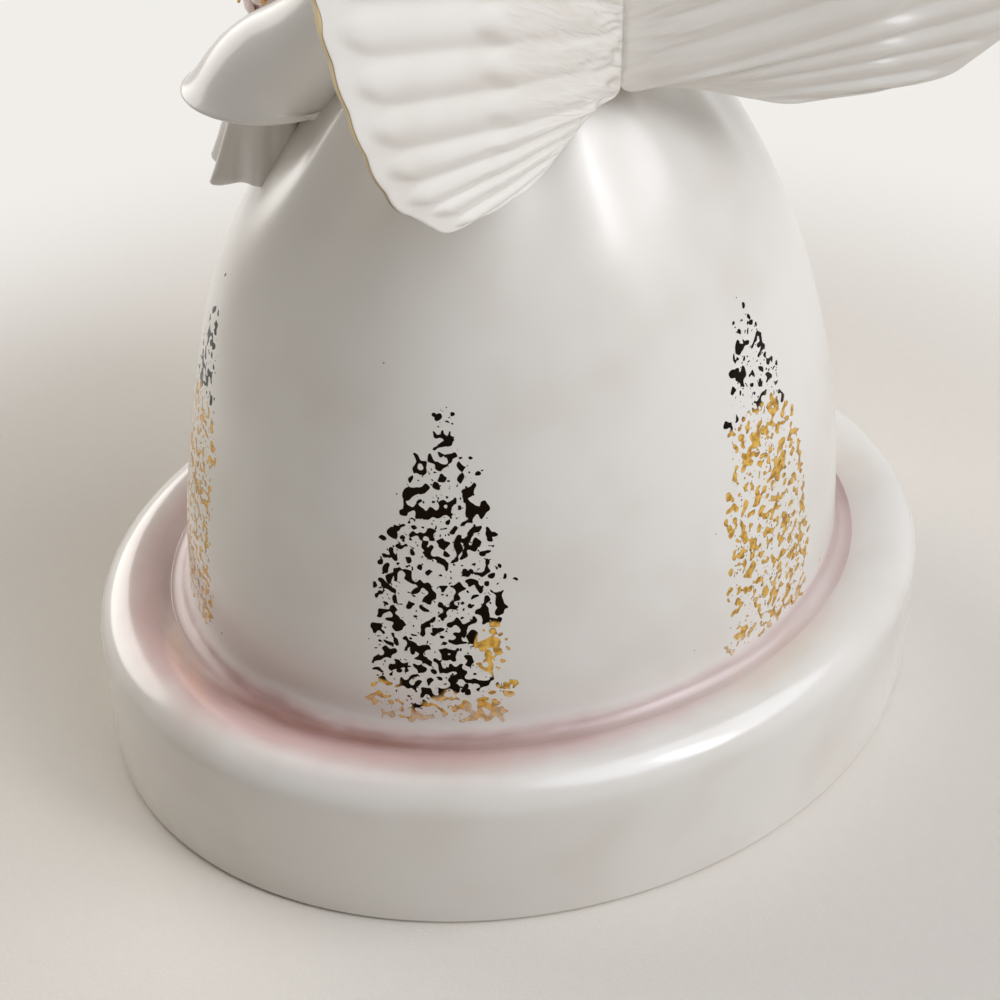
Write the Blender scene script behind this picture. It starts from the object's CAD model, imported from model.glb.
"""The looks of a glazed ceramic angel on an oval plinth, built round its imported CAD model."""

import math
from bisect import bisect_right

import bmesh
import bpy
from bpy.props import FloatProperty, FloatVectorProperty, IntProperty, PointerProperty
from mathutils import Matrix, Vector, noise


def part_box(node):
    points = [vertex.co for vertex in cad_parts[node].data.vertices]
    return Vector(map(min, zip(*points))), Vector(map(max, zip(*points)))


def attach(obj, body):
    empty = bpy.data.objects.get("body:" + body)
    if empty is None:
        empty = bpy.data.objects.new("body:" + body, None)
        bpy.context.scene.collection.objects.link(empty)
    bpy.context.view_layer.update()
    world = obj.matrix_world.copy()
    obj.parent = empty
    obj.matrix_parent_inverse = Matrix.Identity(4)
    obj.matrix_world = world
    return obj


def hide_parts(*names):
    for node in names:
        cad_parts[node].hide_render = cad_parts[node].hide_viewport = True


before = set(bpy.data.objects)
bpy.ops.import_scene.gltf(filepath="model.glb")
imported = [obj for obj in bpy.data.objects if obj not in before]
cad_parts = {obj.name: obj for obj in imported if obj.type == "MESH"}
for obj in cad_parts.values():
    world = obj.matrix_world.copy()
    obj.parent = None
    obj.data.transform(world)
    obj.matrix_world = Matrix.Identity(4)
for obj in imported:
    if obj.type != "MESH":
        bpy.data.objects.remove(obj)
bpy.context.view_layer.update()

bl_info = {
    "name": "Glazed Ceramic Angel",
    "version": (1, 0, 0),
    "blender": (4, 5, 0),
    "location": "3D View > Sidebar > Angel",
    "description": "Models a white glazed angel with ribbed wings, a flecked gown and a posy",
    "category": "Add Mesh",
}

MM = 0.001
WELD = 0.002 * MM
# A UV map that holds a length holds it times this
CHART_SCALE = 10
BODY = "root"
SIDES = ((1, "left"), (-1, "right"))

plinth_low, plinth_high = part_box("plinth")
gown_low, gown_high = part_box("gown")
bodice_low, bodice_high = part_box("bodice")
posy_low, posy_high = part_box("posy_heart")


def linear(text):
    """A colour written as web hex, as the linear values that Blender's colours hold."""
    shares = [int(text[place : place + 2], 16) / 255 for place in (0, 2, 4)]
    return tuple(((share + 0.055) / 1.055) ** 2.4 for share in shares) + (1.0,)


def length_property(name, description, default):
    return FloatProperty(
        name=name, description=description, default=default, min=0, precision=5, unit="LENGTH"
    )


def angle_property(name, description, degrees):
    turn = math.radians(degrees)
    return FloatProperty(
        name=name, description=description, default=turn, precision=3, unit="ROTATION"
    )


def power_property(name, description, default):
    return FloatProperty(name=name, description=description, default=default, min=0, unit="POWER")


def share_property(name, description, default):
    return FloatProperty(
        name=name, description=description, default=default, min=0, max=4, precision=3
    )


def count_property(name, description, default):
    return IntProperty(name=name, description=description, default=default, min=1, max=400)


def colour_property(name, description, text):
    values = {"default": linear(text), "size": 4, "min": 0, "max": 1}
    return FloatVectorProperty(name=name, description=description, subtype="COLOR", **values)


class GlazeSettings(bpy.types.PropertyGroup):
    white: colour_property("White", "Body of the clear white glaze", "EAE6DF")
    warm: colour_property("Warm white", "Tone where the glaze lies thicker", "DED5C9")
    blush: colour_property("Blush", "Pink wash in the groove and on the flowers", "CCA3A0")
    rose: colour_property("Rose", "Deeper pink inside the flowers", "C7827C")
    gold: colour_property("Gold", "Gold lustre", "D9AE58")
    deep: colour_property("Deep blush", "Rose where the blush has pooled", "936A62")
    ink: colour_property("Black", "Dark flecks on the gown", "19120C")
    skin: colour_property("Skin", "Pale tint of the face and the hands", "EBDACE")
    lip: colour_property("Lips", "Painted lips", "C98B83")
    brow: colour_property("Brow", "Painted brows and lashes", "8A6A52")
    gloss: share_property("Coat roughness", "Roughness of the clear coat", 0.13)


class PlinthSettings(bpy.types.PropertyGroup):
    width: length_property("Width", "Long axis of the oval", plinth_high.x - plinth_low.x)
    depth: length_property("Depth", "Short axis of the oval", plinth_high.y - plinth_low.y)
    height: length_property("Height", "Height of the rounded edge", plinth_high.z - 1.1 * MM)
    edge_radius: length_property("Edge radius", "Radius of the rounded top edge", 4.5 * MM)
    foot_radius: length_property("Foot radius", "Radius of the edge on the table", 0.9 * MM)
    groove_width: length_property("Groove width", "Width of the groove round the gown", 7.6 * MM)
    groove_depth: length_property("Groove depth", "Depth of the groove", 1.5 * MM)
    opening: length_property("Opening", "Long axis of the opening under the gown", 80 * MM)
    wall: length_property("Wall", "Wall of the casting", 4 * MM)


class GownSettings(bpy.types.PropertyGroup):
    width: length_property("Width", "Long axis at the foot", 93.8 * MM)
    depth: length_property("Depth", "Short axis at the foot", 80.8 * MM)
    foot: length_property("Foot", "Height of the foot over the table", gown_low.z)
    height: length_property("Height", "Height from foot to waist", gown_high.z - gown_low.z)
    dome: length_property("Dome", "Height at which the dome would close", 80.6 * MM)
    roundness: share_property("Roundness", "Exponent of the dome's curve", 1.862)
    fold_depth: length_property("Fold depth", "Swell of the small drape folds", 0.32 * MM)
    folds: count_property("Folds", "Small drape folds round the gown", 15)
    fold_turn: angle_property("Fold turn", "Place of the first fold", 6)
    cove: length_property("Cove", "Height of the hollow where the gown meets the plinth", 2.6 * MM)
    cove_reach: length_property("Cove reach", "Reach of the hollow over the plinth", 3.2 * MM)
    strip_turn: angle_property("Strip turn", "Middle of the first strip of flecks", 47.6)
    strip_half: angle_property("Strip half width", "Half width of a strip at the foot", 12.4)
    strips: count_property("Strips", "Strips of flecks round the gown", 6)
    fleck: length_property("Fleck", "Size of one fleck", 0.95 * MM)


class WingSettings(bpy.types.PropertyGroup):
    span: length_property("Span", "Reach of one wing along its sweep", 61 * MM)
    height: length_property("Height", "Height of one wing", 62 * MM)
    foot: length_property("Foot", "Height of the lower tip over the table", gown_high.z - 6.9 * MM)
    sweep: angle_property("Sweep", "How far the wing turns back", 28)
    root_x: length_property("Root aside", "Root's distance from the middle", 2 * MM)
    root_y: length_property("Root back", "Root's distance behind the middle", 21.5 * MM)
    edge: length_property("Edge", "Thickness near the edge", 1.3 * MM)
    rim: length_property("Rim", "Thickness of the thin rim", 0.5 * MM)
    root: length_property("Root", "Thickness at the root", 3.6 * MM)
    camber: length_property("Camber", "Swell of the blade", 2.4 * MM)
    arch: length_property("Arch", "Lift of the blade between its edges", 5 * MM)
    feathers: count_property("Feathers", "Long feathers in the fan", 14)
    relief: length_property("Relief", "Height of the feather ribs", 0.6 * MM)
    scallop: length_property("Scallop", "Depth of the scallops in the edge", 0.4 * MM)
    covert: length_property("Covert step", "Step at the end of the short feathers", 0.6 * MM)
    line: length_property("Gold line", "Width of the gold line on the edge", 0.14 * MM)


class DressSettings(bpy.types.PropertyGroup):
    waist: length_property("Waist", "Width of the waist", 29 * MM)
    chest: length_property("Chest", "Width of the chest", 33 * MM)
    collar: length_property("Collar", "Width of the collar", 25 * MM)
    ruffles: count_property("Collar ruffles", "Waves in the collar", 9)
    ruffle_depth: length_property("Ruffle depth", "Depth of the collar's waves", 0.7 * MM)
    sleeve_wall: length_property("Sleeve wall", "Wall of the sleeve at its mouth", 1.8 * MM)
    shoulder: length_property("Shoulder radius", "Radius of the sleeve at the shoulder", 6.4 * MM)
    mouth: length_property("Mouth radius", "Radius of the sleeve's mouth", 9.6 * MM)
    cuff_waves: count_property("Cuff waves", "Waves in the frill", 7)
    cuff_flare: length_property("Cuff flare", "How far the frill spreads", 3.2 * MM)


class HeadSettings(bpy.types.PropertyGroup):
    width: length_property("Width", "Width of the head", 20.6 * MM)
    depth: length_property("Depth", "Depth of the head", 23.2 * MM)
    height: length_property("Height", "Height of the head", 26 * MM)
    hair: length_property("Hair", "Thickness of the hair", 1.9 * MM)
    strands: count_property("Strands", "Strands swept back from the brow", 12)
    strand_depth: length_property("Strand depth", "Depth between two strands", 0.45 * MM)
    bun: length_property("Bun", "Width of the bun", 12 * MM)


class PosySettings(bpy.types.PropertyGroup):
    width: length_property("Width", "Width of the posy", posy_high.x - posy_low.x)
    depth: length_property("Depth", "Depth of the posy", 12.5 * MM)
    height: length_property("Height", "Height of the posy", 15 * MM)
    rose: length_property("Rose", "Width of the largest rose", 9.4 * MM)
    buds: count_property("Buds", "Small blossoms over the posy", 64)
    leaf: length_property("Leaf", "Length of a leaf", 9.5 * MM)
    stems: count_property("Stems", "Stems in the bunch", 9)


class StageSettings(bpy.types.PropertyGroup):
    floor: colour_property("Floor", "Pale cloth under the figurine", "E8E2D9")
    backdrop: colour_property("Backdrop", "What camera and glaze see behind", "F1EEEA")
    window: power_property("Window", "Power of the tall bright window", 1.3)
    sky: power_property("Sky", "Power of the soft light round that window", 6.2)
    second_window: power_property("Second window", "Power of the window in front", 5.9)
    ceiling: power_property("Ceiling", "Power of the light from above", 0.9)
    fill: share_property("Fill", "Strength of the light from all round", 0.036)


# Lines and shares that several pieces use


def lerp(low, high, share):
    return low + (high - low) * share


def clamped(value):
    return min(1, max(0, value))


def smooth(low, high, value):
    share = clamped((value - low) / (high - low))
    return share * share * (3 - 2 * share)


def hill(offset, width):
    """A bell curve that is 1 at no offset."""
    return math.exp(-((offset / width) ** 2))


def through(points, share):
    """A point on a smooth line through several points."""
    place = share * (len(points) - 1)
    index = min(int(place), len(points) - 2)
    t = place - index
    before = points[max(index - 1, 0)]
    start = points[index]
    end = points[index + 1]
    after = points[min(index + 2, len(points) - 1)]
    leaving = (end - before) / 2
    arriving = (after - start) / 2
    cubed = (2 * start - 2 * end + leaving + arriving) * t**3
    squared = (-3 * start + 3 * end - 2 * leaving - arriving) * t**2
    return cubed + squared + leaving * t + start


def pulled(points, share):
    """A point on a Bezier line of four points."""
    rest = 1 - share
    near = points[0] * rest**3 + points[1] * (3 * rest * rest * share)
    return near + points[2] * (3 * rest * share * share) + points[3] * share**3


class Line:
    """A line that is read by its share of length."""

    samples = 400

    def __init__(self, curve, points):
        self.places = [curve(points, index / self.samples) for index in range(self.samples + 1)]
        self.reached = [0.0]
        for start, end in zip(self.places, self.places[1:]):
            self.reached.append(self.reached[-1] + (end - start).length)
        self.length = self.reached[-1]

    def at(self, share):
        target = clamped(share) * self.length
        index = min(bisect_right(self.reached, target), self.samples) - 1
        step = self.reached[index + 1] - self.reached[index]
        within = (target - self.reached[index]) / step
        return self.places[index].lerp(self.places[index + 1], within)

    def heading(self, share):
        reach = 0.01
        return (self.at(share + reach) - self.at(share - reach)).normalized()


def resampled(points, count):
    """Pairs on a smooth line through a few pairs."""
    line = [Vector(point) for point in points]
    return [tuple(through(line, index / count)) for index in range(count + 1)]


def quarter(centre, radii, start, steps, clockwise=False):
    """Pairs on a quarter of an ellipse."""
    sweep = -math.pi / 2 if clockwise else math.pi / 2
    turns = [math.radians(start) + sweep * index / steps for index in range(steps + 1)]
    (x, y), (across, up) = centre, radii
    return [(x + across * math.cos(turn), y + up * math.sin(turn)) for turn in turns]


# Meshes


def spun(profile, steps, closed=False):
    """A bmesh of a profile of radius and height pairs, spun about the upright axis."""
    mesh = bmesh.new()
    points = [mesh.verts.new((radius, 0, height)) for radius, height in profile]
    pairs = list(zip(points, points[1:]))
    if closed:
        pairs.append((points[-1], points[0]))
    outline = points + [mesh.edges.new(pair) for pair in pairs]
    middle, upright = (0, 0, 0), (0, 0, 1)
    bmesh.ops.spin(
        mesh, geom=outline, cent=middle, axis=upright, angle=math.tau, steps=steps, use_merge=True
    )
    bmesh.ops.remove_doubles(mesh, verts=mesh.verts, dist=WELD)
    bmesh.ops.recalc_face_normals(mesh, faces=mesh.faces)
    return mesh


def moved(mesh, move):
    """Sends each point of a bmesh to the place that a function gives it."""
    for vert in mesh.verts:
        vert.co = move(vert.co.copy())
    return mesh


def turned(mesh, matrix):
    bmesh.ops.transform(mesh, matrix=matrix, verts=mesh.verts)
    return mesh


def swollen(point, amount):
    """Moves a point away from the upright axis."""
    radius = math.hypot(point.x, point.y)
    point.x += point.x / radius * amount
    point.y += point.y / radius * amount


def painted(mesh, pair):
    """Stores a pair of numbers for each point in a UV map, for the material to read."""
    layer = mesh.loops.layers.uv.verify()
    for face in mesh.faces:
        for loop in face.loops:
            loop[layer].uv = pair(loop.vert)
    return mesh


def ball(centre, widths, around=32, rings=20):
    mesh = bmesh.new()
    bmesh.ops.create_uvsphere(mesh, u_segments=around, v_segments=rings, radius=0.5)
    bmesh.ops.scale(mesh, vec=widths, verts=mesh.verts)
    bmesh.ops.translate(mesh, vec=centre, verts=mesh.verts)
    return mesh


def tube(places, radii, around):
    """A closed tube of round sections whose ends are domed."""
    line = Line(through, [Vector(place) for place in places])
    rings = 6 * (len(places) - 1)
    dome_steps = 4
    start = quarter((0, 0), (radii[0], radii[0]), -90, dome_steps)[:-1]
    widths = resampled([(radius, 0) for radius in radii], rings)
    body = [(width, line.length * ring / rings) for ring, (width, _) in enumerate(widths)]
    end = quarter((0, line.length), (radii[-1], radii[-1]), 0, dome_steps)[1:]
    return bent(spun(start + body + end, around), line, line.length)


def sheet(columns, rows, place, thickness, pointed=False):
    """A curved sheet, whose ends are points where it is pointed. A function of a point's place on
    a flat grid, from -0.5 to 0.5 both ways, gives its place in space and its pair in the UV map."""
    mesh = bmesh.new()
    bmesh.ops.create_grid(mesh, x_segments=columns, y_segments=rows, size=0.5)
    charts = {}
    for vert in mesh.verts:
        vert.co, charts[vert] = place(vert.co.x, vert.co.y)
    painted(mesh, charts.get)
    if pointed:
        bmesh.ops.remove_doubles(mesh, verts=mesh.verts, dist=WELD)
    bmesh.ops.recalc_face_normals(mesh, faces=mesh.faces)
    bmesh.ops.solidify(mesh, geom=list(mesh.faces), thickness=thickness)
    return mesh


def together(meshes):
    """Several bmeshes as one."""
    whole = bmesh.new()
    for mesh in meshes:
        data = bpy.data.meshes.new("part")
        mesh.to_mesh(data)
        mesh.free()
        whole.from_mesh(data)
        bpy.data.meshes.remove(data)
    return whole


def bent(mesh, line, length, widen=None, droop=None):
    """Bends a shape that stands on the origin along a line."""
    down = Vector((0, 0, -1))

    def follow(point):
        along = clamped(point.z / length)
        heading = line.heading(along).lerp(down, droop(along) if droop else 0).normalized()
        side = (Vector((1, 0, 0)) - heading * heading.x).normalized()
        lift = heading.cross(side)
        width = widen(along, math.atan2(point.y, point.x)) if widen else 1
        centre = line.at(along) + heading * (point.z - along * length)
        return centre + side * point.x * width + lift * point.y * width

    return moved(mesh, follow)


def kept(context, mesh, name, nodes, finish):
    """Makes a bmesh a smooth piece that rides on the body and stands for its CAD nodes."""
    bmesh.ops.recalc_face_normals(mesh, faces=mesh.faces)
    for face in mesh.faces:
        face.smooth = True
    data = bpy.data.meshes.new(name)
    mesh.to_mesh(data)
    mesh.free()
    data.materials.append(finish)
    piece = bpy.data.objects.new(name, data)
    context.scene.collection.objects.link(piece)
    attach(piece, BODY)
    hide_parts(*nodes)
    return piece


def fused(context, meshes, voxel, rounds):
    """Several overlapping closed shapes as one skin, as when clay is smoothed over its joins."""
    data = bpy.data.meshes.new("clay")
    whole = together(meshes)
    whole.to_mesh(data)
    whole.free()
    clay = bpy.data.objects.new("clay", data)
    context.scene.collection.objects.link(clay)
    skin = clay.modifiers.new("skin", "REMESH")
    skin.mode = "VOXEL"
    skin.voxel_size = voxel
    context.view_layer.update()
    mesh = bmesh.new()
    mesh.from_object(clay, context.evaluated_depsgraph_get())
    bpy.data.objects.remove(clay)
    bpy.data.meshes.remove(data)
    axes = {"use_axis_x": True, "use_axis_y": True, "use_axis_z": True}
    for _ in range(rounds):
        bmesh.ops.smooth_vert(mesh, verts=mesh.verts, factor=0.5, **axes)
    return mesh


# Materials


class Wire:
    """A number on its way through a finish. An expression on it adds the Math nodes."""

    def __init__(self, finish, socket):
        self.finish = finish
        self.socket = socket

    def __add__(self, other):
        return self.finish.math("ADD", self, other)

    def __radd__(self, other):
        return self.finish.math("ADD", other, self)

    def __sub__(self, other):
        return self.finish.math("SUBTRACT", self, other)

    def __rsub__(self, other):
        return self.finish.math("SUBTRACT", other, self)

    def __mul__(self, other):
        return self.finish.math("MULTIPLY", self, other)

    def __rmul__(self, other):
        return self.finish.math("MULTIPLY", other, self)

    def __truediv__(self, other):
        return self.finish.math("DIVIDE", self, other)

    def __pow__(self, other):
        return self.finish.math("POWER", self, other)

    def __abs__(self):
        return self.finish.math("ABSOLUTE", self)

    def __or__(self, other):
        return self.finish.math("MAXIMUM", self, other)


class Finish:
    """One procedural glaze: a Principled shader and the nodes that feed it."""

    def __init__(self, name):
        self.material = bpy.data.materials.new(name)
        self.material.use_nodes = True
        self.tree = self.material.node_tree
        self.shader = self.tree.nodes["Principled BSDF"]

    def join(self, socket, value):
        if isinstance(value, Wire):
            value = value.socket
        if isinstance(value, bpy.types.NodeSocket):
            self.tree.links.new(value, socket)
        else:
            socket.default_value = value

    def node(self, kind, settings, sockets):
        """Adds a node of a kind: its settings first, then the values or links of its sockets."""
        node = self.tree.nodes.new(kind)
        for name, value in settings.items():
            setattr(node, name, value)
        for key, value in sockets.items():
            self.join(node.inputs[key], value)
        return node

    def math(self, operation, *values):
        node = self.node("ShaderNodeMath", {"operation": operation}, dict(enumerate(values)))
        return Wire(self, node.outputs[0])

    def place(self):
        return self.node("ShaderNodeTexCoord", {}, {}).outputs["Object"]

    def chart(self):
        return self.node("ShaderNodeTexCoord", {}, {}).outputs["UV"]

    def split(self, vector):
        node = self.node("ShaderNodeSeparateXYZ", {}, {0: vector})
        return [Wire(self, socket) for socket in node.outputs]

    def combined(self, x, y, z):
        return self.node("ShaderNodeCombineXYZ", {}, {0: x, 1: y, 2: z}).outputs[0]

    def noise(self, size, detail=2.0, distortion=0.0, vector=None):
        """Clouds of about a size in metres, from 0 to 1."""
        sockets = {"Vector": vector or self.place(), "Scale": 1 / size, "Detail": detail}
        sockets["Distortion"] = distortion
        return Wire(self, self.node("ShaderNodeTexNoise", {}, sockets).outputs[0])

    def ramp(self, value, low, high):
        """A smooth rise from 0 to 1 between two values."""
        sockets = {0: value, 1: low, 2: high, 3: 0.0, 4: 1.0}
        node = self.node("ShaderNodeMapRange", {"interpolation_type": "SMOOTHSTEP"}, sockets)
        return Wire(self, node.outputs[0])

    def near(self, distance, full, gone):
        """1 where a distance to either side is small, falling to 0."""
        return 1 - self.ramp(abs(distance), full, gone)

    def turn(self, x, y):
        """The turn about the upright axis."""
        return self.math("ARCTAN2", y, x)

    def wave(self, turn, middle, count=1.0):
        """A wave round the upright axis that is 1 at a middle in degrees."""
        return self.math("COSINE", (turn - math.radians(middle)) * count)

    def spot(self, across, up, centre, radii):
        """How near a point is to the middle of an oval: 1 there and 0 at its rim."""
        aside = (across - centre[0]) / radii[0]
        above = (up - centre[1]) / radii[1]
        return 1 - (aside**2.0 + above**2.0)

    def mixed(self, share, first, second, way="MIX"):
        settings = {"data_type": "RGBA", "blend_type": way}
        return self.node("ShaderNodeMix", settings, {0: share, 6: first, 7: second}).outputs[2]

    def bumped(self, height, distance):
        return self.node("ShaderNodeBump", {}, {"Height": height, "Distance": distance}).outputs[0]

    def set(self, **values):
        for name, value in values.items():
            self.join(self.shader.inputs[name.replace("_", " ").title()], value)


# The clear glaze: its share, the height of its ripples and the width of its clouds of tone
COAT_WEIGHT = 0.85
RIPPLE_HEIGHT = 0.07 * MM
CLOUD_SIZE = 17 * MM


def glazed(finish, colour, settings, height=None, body_roughness=0.3):
    """Lays a colour under clear glaze, with faint clouds of tone and a slightly wavy surface."""
    clouds = finish.ramp(finish.noise(CLOUD_SIZE), 0.42, 0.78)
    toned = finish.mixed(clouds * 0.3, colour, tuple(settings.warm), "MULTIPLY")
    ripples = finish.noise(8 * MM, 1.0) + finish.noise(2.6 * MM, 1.0) * 0.12
    relief = ripples if height is None else ripples + height
    finish.set(base_color=toned, roughness=body_roughness)
    finish.set(coat_weight=COAT_WEIGHT, coat_roughness=settings.gloss)
    finish.set(normal=finish.bumped(relief, RIPPLE_HEIGHT))
    return finish.material


def white_finish(settings):
    return glazed(Finish("white_glaze"), tuple(settings.white), settings)


# Turns in degrees: where the brushed blush is fullest, and the side to which it has run furthest
WASH_TURN = 20
SPREAD_TURN = 10


def blushed(finish, settings, cover, deeper):
    """White under the brushed blush: streaks that run round the foot, fuller on two opposite
    sides, and a darker pink where the wash has pooled."""
    x, y, height = finish.split(finish.place())
    turn = finish.turn(x, y)
    flow = finish.combined(turn * 3.0, height / (0.9 * MM), 0.0)
    streaks = 0.7 + 0.6 * finish.noise(1.0, 3.0, vector=flow)
    wash = (0.74 + 0.22 * finish.wave(turn, WASH_TURN, 2.0)) * streaks
    tint = finish.mixed(deeper * wash, tuple(settings.blush), tuple(settings.deep))
    return finish.mixed(cover * wash, tuple(settings.white), tint)


def plinth_finish(settings, plinth):
    """White glaze with a blush wash pooled in the groove. The UV map holds the reach first."""
    finish = Finish("plinth_glaze")
    reach, _, _ = finish.split(finish.chart())
    shoulder = (plinth.width / 2 - plinth.edge_radius) * CHART_SCALE
    x, y, _ = finish.split(finish.place())
    spread = finish.wave(finish.turn(x, y), SPREAD_TURN)
    ragged = (finish.noise(7 * MM, 3.0) - 0.5) * 0.03 - spread * 0.04
    pooled = 1 - finish.ramp(reach + ragged, shoulder - 0.065, shoulder + 0.005)
    inside = finish.ramp(reach, shoulder - 0.11, shoulder - 0.1)
    deeper = 1 - finish.ramp(reach - spread * 0.02, shoulder - 0.07, shoulder - 0.03)
    return glazed(finish, blushed(finish, settings, pooled * inside, deeper), settings)


# The strips of flecks on the gown: the heights over the table of their foot, of their top and of
# the line below which they are gold, and how much higher the last two are on every other strip
STRIP_FOOT = 24 * MM
STRIP_TOP = 66 * MM
STRIP_TOP_STEP = 5 * MM
GOLD_LINE = 27.6 * MM
GOLD_LINE_STEP = 29 * MM
# A gold patch beside the middle of a strip: its place and its radii, round the gown and upwards
PATCH_PLACE = (math.radians(8.8), 34.5 * MM)
PATCH_RADII = (math.radians(3.6), 4.4 * MM)


def fleck_field(finish, size, cover, rise):
    """Above 0 inside a fleck: worms, blobs and dots, the worms thinner towards a strip's top."""
    thin = finish.ramp(rise, 0.35, 1.0) * 0.055
    worms = finish.noise(size, 0.0, 0.15) - finish.noise(size * 2.6, 0.0) * 0.3 - 0.407 - thin
    blobs = (finish.noise(size * 1.9, 0.0) - 0.7) * 0.9
    dots = (finish.noise(size * 0.45, 0.0) - 0.72) * 0.5
    return (worms | blobs | dots) - (1 - cover) * 0.34


def gilding(finish, offset, z, shift, field):
    """Where the flecks are gold and not black: below a ragged line and in a patch beside it."""
    line = shift * GOLD_LINE_STEP + GOLD_LINE + (finish.noise(5 * MM, 1.0) - 0.5) * (10 * MM)
    patch = finish.ramp(finish.spot(offset, z, PATCH_PLACE, PATCH_RADII), 0.1, 0.3)
    gilded = (1 - finish.ramp(z - line, -0.5 * MM, 0.5 * MM)) | patch
    covered = finish.ramp(field + (finish.noise(0.5 * MM, 1.0) - 0.5) * 0.12, 0.0, 0.03)
    return gilded * (covered * 0.8 + 0.2)


def gown_finish(settings, gown):
    """White glaze with strips of dark and gold flecks, and a trace of blush at the foot."""
    finish = Finish("gown_glaze")
    x, y, z = finish.split(finish.place())
    turn = finish.turn(x, y * (gown.width / gown.depth))
    half_step = math.pi / gown.strips
    offset = finish.math("WRAP", turn - gown.strip_turn, half_step, -half_step)
    shift = 0.5 - 0.5 * finish.math("COSINE", (turn - gown.strip_turn) * (gown.strips / 2))
    rise = ((z - STRIP_FOOT) / (shift * STRIP_TOP_STEP + (STRIP_TOP - STRIP_FOOT))) | 0.0
    half_width = (1 - rise**3.4 * 0.92) * gown.strip_half
    ragged = (finish.noise(4 * MM, 1.0) - 0.5) * 0.35
    edge = (half_width - abs(offset)) / gown.strip_half + ragged
    cover = finish.ramp(edge, -0.05, 0.2) * (1 - finish.ramp(rise, 1.0, 1.08))
    ended = finish.ramp(z, gown.foot + 0.6 * MM, gown.foot + 1.8 * MM)
    field = fleck_field(finish, gown.fleck, cover * ended, rise)
    fleck = finish.ramp(field, 0.0, 0.012)
    gilded = gilding(finish, offset, z, shift, field)
    grain = finish.ramp(finish.noise(0.7 * MM), 0.35, 0.7)
    leaf = finish.mixed(grain, linear("ECBE57"), linear("AE7E2E"))
    paint = finish.mixed(gilded, tuple(settings.ink), leaf)
    worn = finish.ramp(finish.noise(2.4 * MM) + (z - gown.foot) * 60.0, 0.45, 0.8)
    strength = fleck * (1 - gilded * (0.5 - 0.5 * worn))
    flow = finish.combined(turn * 5.0, z / (3 * MM), 0.0)
    tide = (finish.noise(1.0, vector=flow) - 0.5) * (1.6 * MM)
    brushed = (z + tide + finish.wave(turn, SPREAD_TURN) * (1.2 * MM) - gown.foot) / gown.cove
    blush = 1 - finish.ramp(brushed, 0.1, 0.8)
    deeper = 1 - finish.ramp(brushed, 0.0, 0.6)
    ground = blushed(finish, settings, blush, deeper)
    colour = finish.mixed(strength, ground, paint)
    material = glazed(finish, colour, settings, fleck * 0.4)
    finish.set(metallic=strength * (1 - gilded * 0.4), coat_roughness=0.28)
    finish.set(coat_weight=COAT_WEIGHT * (1 - fleck) - 0.5 * deeper)
    return material


def wing_finish(settings, wing):
    """White glaze with a gold line on the outer edge. The UV map holds the distance from that
    edge and the share along it."""
    finish = Finish("wing_glaze")
    inward, across, _ = finish.split(finish.chart())
    wander = finish.noise(5 * MM, 1.0) * 0.6 + 0.7
    blob = finish.near(across - 0.556, 0.0, 0.022) * 1.6
    width = (wander + blob) * (wing.line * CHART_SCALE) * finish.ramp(across, 0.13, 0.42)
    line = finish.ramp(width - inward, -0.0006, 0.0006) * finish.ramp(across, 0.13, 0.2)
    flow = finish.combined(inward * 14.0, across * 46.0 + inward * 12.0, 0.0)
    strokes = finish.ramp(finish.noise(1.0, 1.5, 0.8, vector=flow), 0.3, 0.7)
    x, _, _ = finish.split(finish.place())
    rooted = finish.ramp(inward, 0.2, 0.4) * (0.35 + 0.65 * finish.ramp(x, -1 * MM, 1 * MM))
    white, warm = tuple(settings.white), tuple(settings.warm)
    colour = finish.mixed(rooted * (1 - strokes) * 0.4, white, warm)
    shade = 1 - finish.ramp(width - inward, 0.0002, 0.0011)
    gilt = finish.mixed(shade * 0.85, linear("D3BF93"), linear("6E5633"))
    colour = finish.mixed(line, colour, gilt)
    material = glazed(finish, colour, settings, line * 1.5 + rooted * strokes * 1.3)
    finish.set(metallic=line * 0.6)
    return material


# The glaze over skin is a little softer
SKIN_ROUGHNESS = 0.36


def skin_finish(settings):
    finish = Finish("skin_glaze")
    return glazed(finish, tuple(settings.skin), settings, body_roughness=SKIN_ROUGHNESS)


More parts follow.
